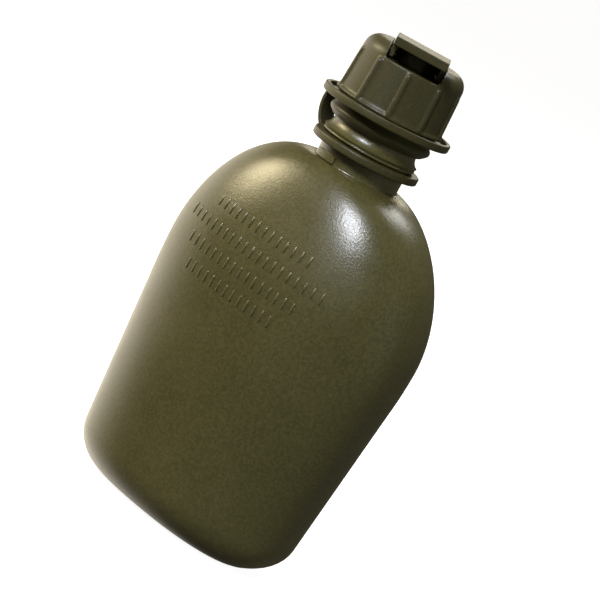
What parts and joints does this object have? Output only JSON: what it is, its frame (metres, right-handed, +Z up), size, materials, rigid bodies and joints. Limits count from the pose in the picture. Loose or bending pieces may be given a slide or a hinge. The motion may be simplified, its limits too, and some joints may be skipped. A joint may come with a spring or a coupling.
{
  "type": "canteen",
  "caption": "Flat hip-curved plastic water canteen with a strapped, ribbed screw cap and a flip-up cover over a drinking valve.",
  "frame": {"origin": "where the neck's axis meets the flat base", "axes": "+Z up the neck's axis, -Y out of the bulging front face, +X to the right seen from the front"},
  "size_m": [0.128, 0.0666, 0.2282],
  "materials": {
    "bottle": "matte moulded olive drab polyethylene",
    "strap": "satin flexible olive polyethylene",
    "cap": "satin moulded olive drab plastic",
    "valve_plastic": "satin dark olive plastic",
    "rubber": "matte black rubber",
    "pin": "drawn stainless wire"
  },
  "bodies": {
    "bottle": {"bottle": "bottle"},
    "strap_low": {"strap_neck_ring": "strap", "strap_link": "strap"},
    "strap_high": {"strap_cap_ring": "strap"},
    "gasket": {"neck_gasket": "rubber"},
    "cap": {"cap_shell": "cap", "drink_socket": "valve_plastic", "drink_pin": "valve_plastic", "valve_diaphragm": "rubber", "valve_retainer": "valve_plastic", "cover_pin": "pin"},
    "cover": {"cover": "cap", "cover_seal": "rubber"},
    "valve": {"valve_hub": "rubber"}
  },
  "joints": [
    {"name": "strap_swivel", "type": "hinge", "parent": "bottle", "child": "strap_low", "pos_m": [0, 0, 0.1767], "axis": [0, 0, 1], "continuous": true},
    {"name": "strap_lift", "type": "slide", "parent": "strap_low", "child": "strap_high", "axis": [0, 0, 1], "range_m": [0, 0.0085], "deforming": ["strap_link"]},
    {"name": "cap_lift", "type": "slide", "parent": "bottle", "child": "gasket", "axis": [0, 0, 1], "range_m": [0, 0.0085]},
    {"name": "cap_unscrew", "type": "hinge", "parent": "gasket", "child": "cap", "pos_m": [0, 0, 0.198], "axis": [0, 0, 1], "range_deg": [0, 720]},
    {"name": "cover_open", "type": "hinge", "parent": "cap", "child": "cover", "pos_m": [-0.00689, 0.01103, 0.2214], "axis": [-0.848, -0.5299, 0], "range_deg": [0, 115]},
    {"name": "valve_press", "type": "slide", "parent": "cap", "child": "valve", "axis": [0, 0, -1], "range_m": [0, 0.0017], "stiffness_N_per_m": 900, "deforming": ["valve_diaphragm"]}
  ],
  "couplings": [
    {"joint": "cap_lift", "follows": "cap_unscrew", "m_per_rad": 0.00066845},
    {"joint": "strap_lift", "follows": "cap_unscrew", "m_per_rad": 0.00066845}
  ]
}
